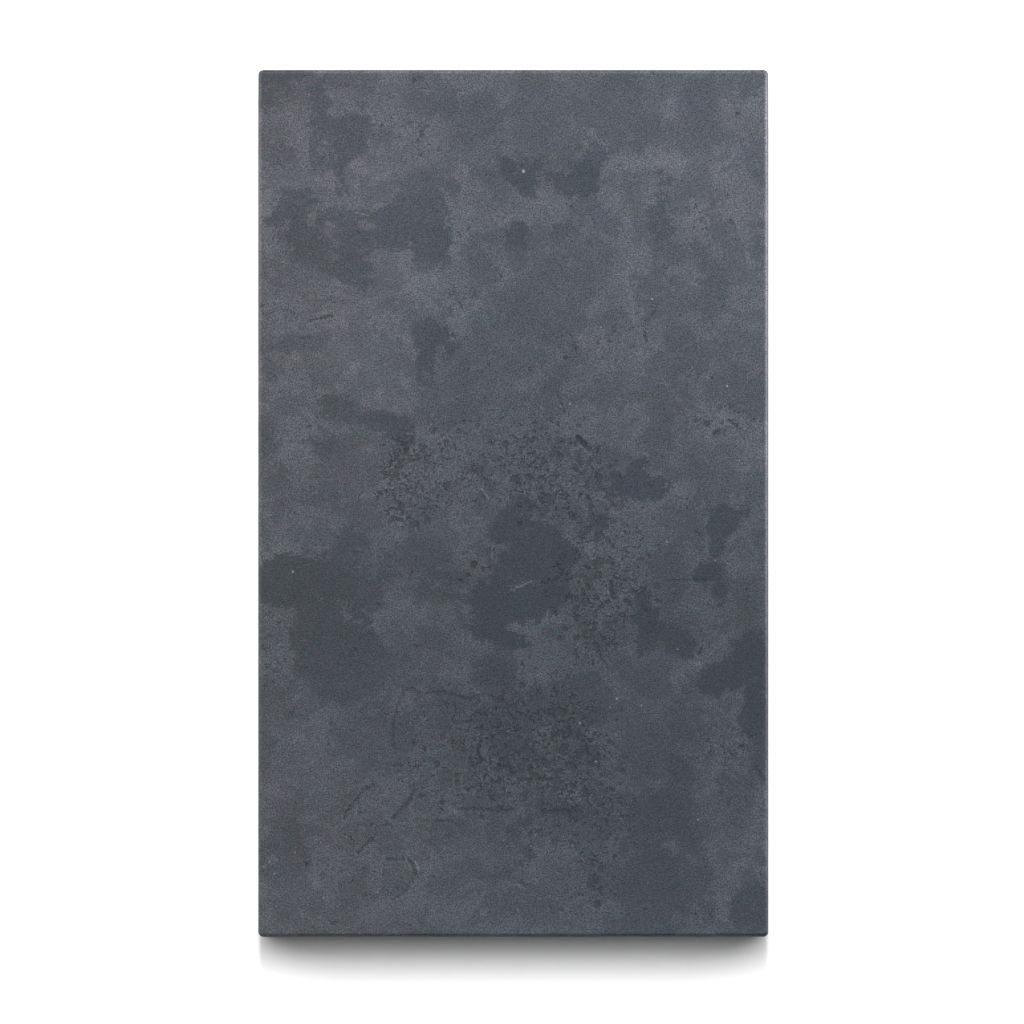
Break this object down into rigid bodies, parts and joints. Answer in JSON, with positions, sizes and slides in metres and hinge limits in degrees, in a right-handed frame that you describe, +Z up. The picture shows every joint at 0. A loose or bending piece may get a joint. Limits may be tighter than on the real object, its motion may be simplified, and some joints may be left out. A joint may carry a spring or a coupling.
{
  "type": "massage stone",
  "caption": "Flat rectangular basalt slab for hot or cold stone massage: honed faces, eased edges, rests on either broad face.",
  "frame": {"origin": "middle of the underside, the broad face that the stone rests on", "axes": "+X across the width, +Y along the length, +Z up through the thickness, out of the working face"},
  "size_m": [0.1, 0.17, 0.02],
  "materials": {
    "basalt": "satin"
  },
  "bodies": {
    "root": {"basalt_stone": "basalt"}
  },
  "joints": []
}
